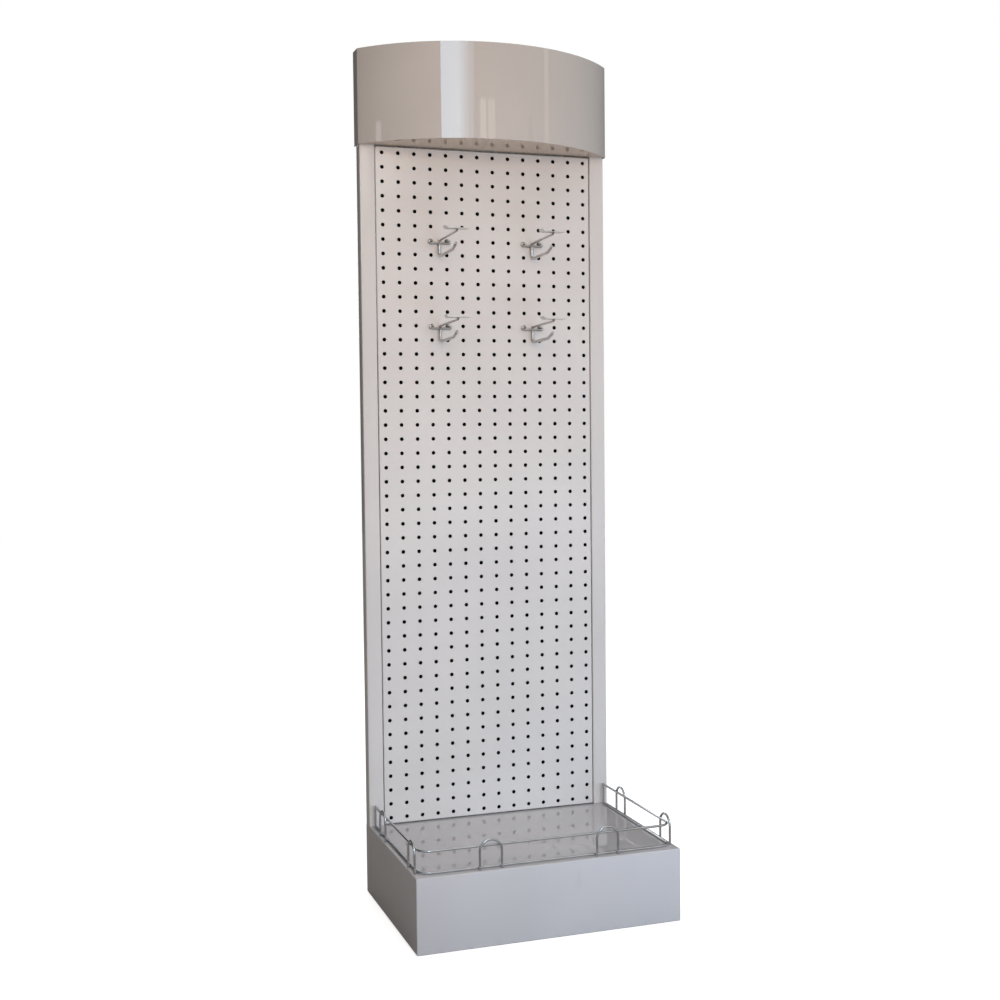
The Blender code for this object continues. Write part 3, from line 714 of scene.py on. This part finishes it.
def matched_inner(line, thickness):
    """The inner line of a sheet whose outer line is given."""
    inner = []
    for index, point in enumerate(line):
        before = line[max(index - 1, 0)]
        after = line[min(index + 1, len(line) - 1)]
        along = (after - before).normalized()
        inner.append(point + Vector((-along.y, along.x)) * thickness)
    inner[0] = Vector((line[0].x + thickness, line[0].y))
    inner[-1] = Vector((line[-1].x - thickness, line[-1].y))
    return inner


outer_line = fascia_line(0.0, fascia_high[1])
form = bmesh.new()
strip(form, outer_line, matched_inner(outer_line, SHEET), fascia_low[2], fascia_high[2], FASCIA_EDGE)
make_piece("header_fascia_rolled", form, header_coat_and_warm_light, "stand", ["header_fascia"])

for plate, coat in (("underside", underside_coat_and_warm_reflection), ("top", header_coat_and_warm_light)):
    low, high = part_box(f"header_{plate}")
    line = fascia_line(SHEET + PLATE_GAP, high[1])
    form = bmesh.new()
    edge = HEADER_PLATE_EDGE
    middle = Vector((0.0, (line[0].y + fascia_low[1]) / 2))
    shrunk = [point + (middle - point).normalized() * edge for point in line]
    rings = ((shrunk, low[2]), (line, low[2] + edge), (line, high[2] - edge), (shrunk, high[2]))
    join_rings(form, [[form.verts.new((point.x, point.y, level)) for point in ring] for ring, level in rings])
    make_piece(f"header_{plate}_plate", form, coat, "stand", [f"header_{plate}"])
for side, outward in (("left", 1), ("right", -1)):
    keep_node(f"header_bracket_{side}", raw_steel, CUT_EDGE)
    screw_piece(f"header_fixing_{side}", f"header_screw_{side}", outward, raw_steel)


# ---------------------------------------------------------------------------------------------------
# Fence
# Bright zinc-plated 4 mm wire: two rails, two end posts and six hoops, resistance welded where they
# cross. The hoops' legs drop into holes in the deck, so the whole fence lifts off.

FENCE_CORNER = 0.0220
FENCE_BEND_STEPS = 14
HOOP_STEPS = 24
POST_STATION = 0.0040
BEAD_SINK = 0.00015
WIRE_FACETS = 16
DOME_HEIGHT = 0.35
BEAD_FACETS = 14
BEAD_STEPS = 6


def plated_wire(name, colour, roughness):
    """Drawn wire with bright zinc plating: small dull spots and slight colour drift."""
    material, nodes, links, shader, place = new_material(name)
    drift = noise(nodes, links, place, 45.0, 4.0)
    links.new(graded(nodes, links, drift, [(0.30, shade(colour, 0.82)), (0.70, shade(colour, 1.08))]),
              shader.inputs["Base Color"])
    spots = noise(nodes, links, place, 300.0, 3.0)
    links.new(spread(nodes, links, spots, roughness, roughness + 0.14), shader.inputs["Roughness"])
    shader.inputs["Metallic"].default_value = 1.0
    raised(nodes, links, spots, shader, 0.00004, 0.18)
    return material


def swept_wire(form, path, radius, sides=WIRE_FACETS):
    """A round wire along a path, its frame carried along without twist, its ends domed."""
    path = [Vector(point) for point in path]
    tangents = []
    for index in range(len(path)):
        before = path[max(index - 1, 0)]
        after = path[min(index + 1, len(path) - 1)]
        tangents.append((after - before).normalized())
    normal = tangents[0].orthogonal().normalized()
    stations = []
    for index, (point, tangent) in enumerate(zip(path, tangents)):
        normal = (normal - tangent * normal.dot(tangent)).normalized()
        stations.append((point, tangent, normal.copy(), radius))
    first, last = stations[0], stations[-1]
    crown = DOME_HEIGHT * radius
    caps = [(share, crown * (1 - math.sqrt(1 - share ** 2))) for share in (0.95, 0.80, 0.55, 0.25)]
    caps.insert(0, (1.0, crown))
    head = [(first[0] + first[1] * sink, *first[1:3], radius * share) for share, sink in reversed(caps)]
    tail = [(last[0] - last[1] * sink, *last[1:3], radius * share) for share, sink in caps]
    stations = head + stations[1:-1] + tail
    rows = []
    for point, tangent, normal, size in stations:
        other = tangent.cross(normal)
        rows.append([form.verts.new(point + (normal * math.cos(2 * math.pi * s / sides)
                                             + other * math.sin(2 * math.pi * s / sides)) * size)
                     for s in range(sides)])
    join_rings(form, rows)


def bent(corners, radius, steps):
    """A path through corners, each inner corner rounded."""
    corners = [Vector(corner) for corner in corners]
    path = [corners[0]]
    for before, corner, after in zip(corners, corners[1:], corners[2:]):
        path += round_corner(before, corner, after, radius, steps)
    path.append(corners[-1])
    return path


def weld_bead(form, centre, across, along, length, width):
    """A small flattened fillet that fills the crossing of two wires."""
    across = Vector(across).normalized()
    along = Vector(along).normalized()
    third = across.cross(along)
    rows = []
    for step in range(1, BEAD_STEPS):
        angle = math.pi * step / BEAD_STEPS
        ring = []
        for s in range(BEAD_FACETS):
            turn = 2 * math.pi * s / BEAD_FACETS
            lump = 1.0 + 0.10 * math.sin(3 * turn + 5.0 * centre[0] * 100 + step)
            ring.append(form.verts.new(Vector(centre) + along * (length * math.cos(angle))
                                       + (across * math.cos(turn) * 0.9 + third * math.sin(turn)) * width
                                       * math.sin(angle) * lump))
        rows.append(ring)
    join_rings(form, rows)


fence_zinc = plated_wire("wire_fence", (0.60, 0.62, 0.64), 0.11)
rail_levels = {}
for name in ("top", "bottom"):
    low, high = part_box(f"fence_{name}_rail")
    level = (low[2] + high[2]) / 2
    rail_levels[name] = level
    fence_x = high[0] - WIRE_RADIUS
    fence_front = low[1] + WIRE_RADIUS
    fence_back = high[1]
    form = bmesh.new()
    swept_wire(form, bent([(-fence_x, fence_back, level), (-fence_x, fence_front, level),
                           (fence_x, fence_front, level), (fence_x, fence_back, level)],
                          FENCE_CORNER, FENCE_BEND_STEPS), WIRE_RADIUS)
    make_piece(f"fence_wire_{name}", form, fence_zinc, "fence", [f"fence_{name}_rail"])
beads = bmesh.new()
for side in ("left", "right"):
    low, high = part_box(f"fence_post_{side}")
    spot = ((low[0] + high[0]) / 2, (low[1] + high[1]) / 2)
    form = bmesh.new()
    levels = (low[2], low[2] + POST_STATION, high[2] - POST_STATION, high[2])
    swept_wire(form, [(*spot, level) for level in levels], WIRE_RADIUS)
    make_piece(f"fence_end_{side}", form, fence_zinc, "fence", [f"fence_post_{side}"])
    for level in (low[2], high[2]):
        weld_bead(beads, (*spot, level), (1, 0, 0), (0, 1, 0), 0.0021, 0.0014)
for name in HOOPS:
    low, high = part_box(name)
    across = Vector((1, 0)) if high[0] - low[0] > high[1] - low[1] else Vector((0, 1))
    middle = Vector(((low[0] + high[0]) / 2, (low[1] + high[1]) / 2))
    half = max(high[0] - low[0], high[1] - low[1]) / 2 - WIRE_RADIUS
    spring = high[2] - WIRE_RADIUS - half
    angles = [math.pi * step / HOOP_STEPS for step in range(HOOP_STEPS + 1)]
    arch = [(-half * math.cos(angle), spring + half * math.sin(angle)) for angle in angles]
    outline = [(-half, low[2])] + arch + [(half, low[2])]
    form = bmesh.new()
    swept_wire(form, [(middle.x + shift * across.x, middle.y + shift * across.y, level)
                      for shift, level in outline], WIRE_RADIUS)
    make_piece(f"{name}_wire", form, fence_zinc, "fence", [name])
    inward = Vector((0, 1, 0)) if across.x else Vector((-math.copysign(1, middle.x), 0, 0))
    for shift in (-half, half):
        for level in rail_levels.values():
            spot = Vector((middle.x + shift * across.x, middle.y + shift * across.y, level))
            weld_bead(beads, spot + inward * (WIRE_RADIUS + BEAD_SINK), (0, 0, 1), (across.x, across.y, 0),
                      0.0017, 0.0013)
make_piece("fence_welds", beads, fence_zinc, "fence", [])


# ---------------------------------------------------------------------------------------------------
# Hooks
# Each hook is bent from plated wire: a saddle whose curled ends pass through two holes and turn up
# behind the panel, a lower arm for the goods, and a thinner upper arm with a spot-welded label plate.

SADDLE_RADIUS = 0.0020
ARM_RADIUS = 0.0026
LABEL_RADIUS = 0.0021
SADDLE_DROP = 0.0046
SADDLE_STANDOFF = 0.0042
SADDLE_BEND = 0.0022
PRONG_BEND = 0.0120
PRONG_SWEEP = math.radians(60)
CURL_STEPS = 12
HOOK_COLUMNS_OUT = 3
WELD_GAP = 0.0003
ARM_DROP = 0.0280
ARM_KNEE = (0.0850, 0.0255)
ARM_TIP = (0.1070, 0.0170)
ARM_BEND = 0.0060
ARM_FACETS = 18
LABEL_REACH = 0.1130
LABEL_RISE = 0.0033
LABEL_STUB = 0.0025
LABEL_BEND = 0.0024
ARM_BEND_STEPS = 8
PLATE_LEFT = 0.0200
PLATE_SHEET = 0.0010
PLATE_CORNER = 0.0020
LIP_START = 0.0006
HOOK_ROWS = {"upper": 7, "lower": 13}
hook_zinc = plated_wire("wire_hooks", (0.56, 0.53, 0.51), 0.27)
plate_zinc = plated_wire("plate_hooks", (0.76, 0.76, 0.73), 0.24)


def saddle_line(middle_x, hole_z):
    """The saddle's centre line, from one prong's tip to the other's."""
    half_span = PITCH_X / 2
    bar_y = front - SADDLE_STANDOFF
    curl = SADDLE_DROP / 2
    right = []
    for step in range(CURL_STEPS + 1):
        angle = math.pi * step / CURL_STEPS
        right.append((half_span + SADDLE_BEND + curl * math.sin(angle), bar_y,
                      hole_z - curl * (1 + math.cos(angle))))
    for step in range(1, CURL_STEPS // 2 + 1):
        angle = math.pi * step / CURL_STEPS
        right.append((half_span + SADDLE_BEND * (1 - math.sin(angle)),
                      bar_y + SADDLE_BEND * (1 - math.cos(angle)), hole_z))
    for step in range(CURL_STEPS + 1):
        angle = PRONG_SWEEP * step / CURL_STEPS
        right.append((half_span, front + SHEET / 2 + PRONG_BEND * math.sin(angle),
                      hole_z + PRONG_BEND * (1 - math.cos(angle))))
    left = [(-x, y, z) for x, y, z in reversed(right)]
    return [(middle_x + x, y, z) for x, y, z in left + right]


def label_plate(form, low, high, lip_left):
    """A thin plate with round corners, its left end turned up into a lip that leans out."""
    rise = high[2] - low[2] - LIP_START
    lean = lip_left - low[0]
    profile = []
    for share in (0.0, 0.0006, PLATE_CORNER):
        inset = PLATE_CORNER - math.sqrt(PLATE_CORNER ** 2 - (PLATE_CORNER - share) ** 2)
        profile.append((high[0] - share, low[2], inset))
    profile += [(lip_left + 0.0020, low[2], 0.0), (lip_left + 0.0009, low[2] + 0.00015, 0.0),
                (lip_left + 0.0002, low[2] + LIP_START, 0.0)]
    for share, inset in ((0.25, 0.0), (0.60, 0.0), (0.85, 0.0006), (1.0, 0.0018)):
        profile.append((lip_left - lean * share, low[2] + LIP_START + rise * share, inset))
    rows = []
    for index, (x, z, inset) in enumerate(profile):
        before = profile[max(index - 1, 0)]
        after = profile[min(index + 1, len(profile) - 1)]
        along = Vector((after[0] - before[0], after[1] - before[1])).normalized()
        up = Vector((along.y, -along.x)) * PLATE_SHEET
        if index == len(profile) - 1:
            up = Vector((up.x, 0.0)).normalized() * PLATE_SHEET
        y_low, y_high = low[1] + inset, high[1] - inset
        top = (x + up.x, z + up.y)
        rows.append([form.verts.new((x, y_low, z)), form.verts.new((x, y_high, z)),
                     form.verts.new((top[0], y_high, top[1])), form.verts.new((top[0], y_low, top[1]))])
    join_rings(form, rows)


for row_name, row in HOOK_ROWS.items():
    hole_z = row_z(row)
    for side, sign in (("left", -1), ("right", 1)):
        hook = f"hook_{row_name}_{side}"
        middle_x = sign * HOOK_COLUMNS_OUT * PITCH_X
        form = bmesh.new()
        swept_wire(form, saddle_line(middle_x, hole_z), SADDLE_RADIUS)
        make_piece(f"{hook}_saddle_wire", form, hook_zinc, hook, [f"{hook}_saddle"])

        bar_z = hole_z - SADDLE_DROP
        leg_y = front - ARM_RADIUS - SADDLE_RADIUS - WELD_GAP
        form = bmesh.new()
        swept_wire(form, bent([(middle_x, leg_y, bar_z - SADDLE_RADIUS - WELD_GAP),
                               (middle_x, leg_y, hole_z - ARM_DROP),
                               (middle_x, front - ARM_KNEE[0], hole_z - ARM_KNEE[1]),
                               (middle_x, front - ARM_TIP[0], hole_z - ARM_TIP[1])],
                              ARM_BEND, ARM_BEND_STEPS), ARM_RADIUS, ARM_FACETS)
        make_piece(f"{hook}_goods_arm", form, hook_zinc, hook, [f"{hook}_arm"])

        start_z = bar_z + SADDLE_RADIUS + LABEL_RADIUS + 2 * WELD_GAP
        end_y = front - LABEL_REACH
        end_z = hole_z + LABEL_RISE
        form = bmesh.new()
        swept_wire(form, bent([(middle_x, front - LABEL_RADIUS, start_z), (middle_x, end_y, end_z),
                               (middle_x, end_y, end_z + LABEL_STUB)], LABEL_BEND, ARM_BEND_STEPS),
                   LABEL_RADIUS)
        make_piece(f"{hook}_ticket_arm", form, hook_zinc, hook, [f"{hook}_label_arm"])

        low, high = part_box(f"{hook}_label_plate")
        form = bmesh.new()
        label_plate(form, low, high, middle_x - PLATE_LEFT)
        make_piece(f"{hook}_ticket_plate", form, plate_zinc, hook, [f"{hook}_label_plate"])

        form = bmesh.new()
        welds = ((leg_y, bar_z - SADDLE_RADIUS - 0.0002, 0.0028, 0.0021),
                 (front - SADDLE_STANDOFF, bar_z + SADDLE_RADIUS + WELD_GAP, 0.0024, 0.0015),
                 (end_y, end_z + 0.0023, 0.0022, 0.0017))
        for bead_y, bead_z, length, width in welds:
            weld_bead(form, (middle_x, bead_y, bead_z), (0, 1, 0), (1, 0, 0), length, width)
        make_piece(f"{hook}_welds", form, hook_zinc, hook, [])


# ---------------------------------------------------------------------------------------------------
# Studio
# A pale floor, a dark card inside the panel's sheet that keeps the holes dark from every side, and
# soft lights: warm above and cool below in front, dim at the left, with lamps that only show as
# mirror images in the header.

FLOOR_GLOW = 0.70
FLOOR_REACH = 9.0
CARD_MARGIN = 0.0040


def stage_mesh(name, corners, material):
    mesh = bpy.data.meshes.new(name)
    mesh.from_pydata(corners, [], [(0, 1, 2, 3)])
    item = bpy.data.objects.new(name, mesh)
    bpy.context.scene.collection.objects.link(item)
    mesh.materials.append(material)


floor_finish, nodes, links, shader, place = new_material("studio_floor")
pale = [(0.3, (0.80, 0.80, 0.80)), (0.7, (0.83, 0.83, 0.83))]
links.new(graded(nodes, links, noise(nodes, links, place, 1.5), pale), shader.inputs["Base Color"])
shader.inputs["Roughness"].default_value = 0.9
shader.inputs["Specular IOR Level"].default_value = 0.1
ray = nodes.new("ShaderNodeLightPath")
lift = nodes.new("ShaderNodeMath")
lift.operation = "MULTIPLY"
lift.inputs[1].default_value = FLOOR_GLOW
links.new(ray.outputs["Is Camera Ray"], lift.inputs[0])
links.new(lift.outputs["Value"], shader.inputs["Emission Strength"])
shader.inputs["Emission Color"].default_value = (1.0, 1.0, 1.0, 1.0)
bounce = nodes.new("ShaderNodeBsdfDiffuse")
bounce.inputs["Color"].default_value = (0.33, 0.31, 0.29, 1.0)
seen = nodes.new("ShaderNodeMixShader")
links.new(ray.outputs["Is Camera Ray"], seen.inputs["Fac"])
links.new(bounce.outputs["BSDF"], seen.inputs[1])
links.new(shader.outputs["BSDF"], seen.inputs[2])
links.new(seen.outputs["Shader"], nodes["Material Output"].inputs["Surface"])
stage_mesh("floor", [(-FLOOR_REACH, -FLOOR_REACH, 0), (FLOOR_REACH, -FLOOR_REACH, 0),
                     (FLOOR_REACH, FLOOR_REACH, 0), (-FLOOR_REACH, FLOOR_REACH, 0)], floor_finish)

# Painted shade: the near-black card stands for the darkness seen through the holes.
painted_shade_card = new_material("studio_dark_card")[0]
shader = painted_shade_card.node_tree.nodes["Principled BSDF"]
shader.inputs["Base Color"].default_value = (0.004, 0.004, 0.004, 1.0)
shader.inputs["Roughness"].default_value = 1.0
shader.inputs["Specular IOR Level"].default_value = 0.0
card_y = front + 0.75 * SHEET
card_left, card_right = panel_low[0] + CARD_MARGIN, panel_high[0] - CARD_MARGIN
card_foot, card_head = panel_low[2] + CARD_MARGIN, panel_high[2] - CARD_MARGIN
stage_mesh("dark_card", [(card_left, card_y, card_foot), (card_right, card_y, card_foot),
                         (card_right, card_y, card_head), (card_left, card_y, card_head)], painted_shade_card)

scene = bpy.context.scene
world = bpy.data.worlds.new("studio")
scene.world = world
world.use_nodes = True
nodes = world.node_tree.nodes
links = world.node_tree.links
background = nodes["Background"]
coordinates = nodes.new("ShaderNodeTexCoord")
toward = nodes.new("ShaderNodeVectorMath")
toward.operation = "DOT_PRODUCT"
toward.inputs[1].default_value = Vector((0.24, -0.90, 0.30)).normalized()
links.new(coordinates.outputs["Generated"], toward.inputs[0])
half_range = nodes.new("ShaderNodeMapRange")
half_range.inputs["From Min"].default_value = -1.0
links.new(toward.outputs["Value"], half_range.inputs["Value"])
room = [(0.0, (0.05, 0.05, 0.05)), (0.42, (0.09, 0.088, 0.085)), (0.66, (0.80, 0.80, 0.80)),
        (1.0, (1.0, 1.0, 1.0))]
glow = graded(nodes, links, half_range.outputs["Result"], room)
ray = nodes.new("ShaderNodeLightPath")
white = nodes.new("ShaderNodeBackground")
white.inputs["Color"].default_value = (1.0, 1.0, 1.0, 1.0)
white.inputs["Strength"].default_value = 1.0
both = nodes.new("ShaderNodeMixShader")
links.new(ray.outputs["Is Camera Ray"], both.inputs["Fac"])
links.new(glow, background.inputs["Color"])
links.new(background.outputs["Background"], both.inputs[1])
links.new(white.outputs["Background"], both.inputs[2])
links.new(both.outputs["Shader"], nodes["World Output"].inputs["Surface"])
background.inputs["Strength"].default_value = 0.76


def soft_light(name, place_at, aim, size, power, colour):
    lamp = bpy.data.lights.new(name, "AREA")
    lamp.shape = "RECTANGLE"
    lamp.size, lamp.size_y = size
    lamp.energy = power
    lamp.color = colour
    item = bpy.data.objects.new(name, lamp)
    item.location = place_at
    item.rotation_euler = (Vector(aim) - Vector(place_at)).to_track_quat("-Z", "Y").to_euler()
    scene.collection.objects.link(item)
    return item


HEADER_FRONT = (-0.06, 0.04, 1.42)
WINDOW_EDGE = Vector((-1.09, -2.165, 1.98))
WINDOW_RUN = Vector((0.973, -0.231, 0.0))
WINDOW_WIDTHS = (0.58, 0.70, 0.82, 0.98)
WINDOW_POWER = 5.6
WINDOW_LIGHT = (0.60, 0.81, 1.0)
GAP_LIGHT = (1.0, 0.95, 0.88)
# Each lamp: name, place, aim, width and height, power, colour.
MIRRORED_LAMPS = [(f"window_{step}", WINDOW_EDGE + WINDOW_RUN * width / 2, HEADER_FRONT, (width, 1.0),
                   WINDOW_POWER * width, WINDOW_LIGHT) for step, width in enumerate(WINDOW_WIDTHS)] + [
    ("window_gap_1", (0.15, -2.39, 1.83), HEADER_FRONT, (0.18, 0.30), 0.36, GAP_LIGHT),
    ("window_gap_2", (0.41, -2.365, 1.83), HEADER_FRONT, (0.22, 0.30), 0.32, GAP_LIGHT),
    ("window_side", (-2.47, -0.80, 1.83), (-0.20, 0.11, 1.40), (0.18, 0.16), 0.18, (0.9, 0.96, 1.0)),
    ("lamp_right", (2.00, -1.47, 2.00), (0.08, 0.04, 1.42), (0.15, 1.10), 0.6, (1.0, 0.88, 0.74))]
FILL_LAMPS = [
    ("warm_fill", (-0.25, -1.35, 1.35), (0.0, 0.14, 1.30), (1.0, 0.5), 8.1, (1.0, 0.57, 0.29)),
    ("cool_fill", (0.45, -1.35, 0.45), (0.0, 0.00, 0.38), (1.2, 0.5), 10.4, (0.58, 0.77, 1.0)),
    ("middle_fill", (0.10, -1.75, 0.62), (0.0, 0.14, 0.60), (0.7, 0.5), 2.5, (0.90, 0.97, 1.0)),
    ("left_fill", (-0.90, -1.90, 1.20), (-0.1, 0.0, 0.90), (0.8, 1.4), 3.9, (1.0, 0.97, 0.95))]
for lamp in MIRRORED_LAMPS:
    soft_light(*lamp).visible_diffuse = False
for lamp in FILL_LAMPS:
    soft_light(*lamp).visible_glossy = False
back_fill = soft_light("back_fill", (0.45, 2.70, 1.80), (0.0, 0.15, 0.75), (1.3, 1.3), 22.0, (1.0, 1.0, 1.0))
back_fill.visible_camera = False

CAMERA_PLACE = Vector((-0.80815, -2.28168, 0.83890))
camera_data = bpy.data.cameras.new("camera")
camera_data.sensor_width = 36.0
camera_data.lens = 50.176
camera_data.clip_end = 100.0
camera = bpy.data.objects.new("camera", camera_data)
scene.collection.objects.link(camera)
yaw, pitch, roll = (math.radians(value) for value in (-18.9015, -2.8702, -0.5969))
level_right = Vector((math.cos(yaw), math.sin(yaw), 0.0))
level_forward = Vector((-math.sin(yaw), math.cos(yaw), 0.0))
up = Vector((0.0, 0.0, 1.0))
forward = level_forward * math.cos(pitch) + up * math.sin(pitch)
lift = up * math.cos(pitch) - level_forward * math.sin(pitch)
right = level_right * math.cos(roll) + lift * math.sin(roll)
upward = lift * math.cos(roll) - level_right * math.sin(roll)
turn = Matrix((right, upward, -forward)).transposed()
camera.matrix_world = Matrix.Translation(CAMERA_PLACE) @ turn.to_4x4()
scene.camera = camera
scene.view_settings.view_transform = "Standard"
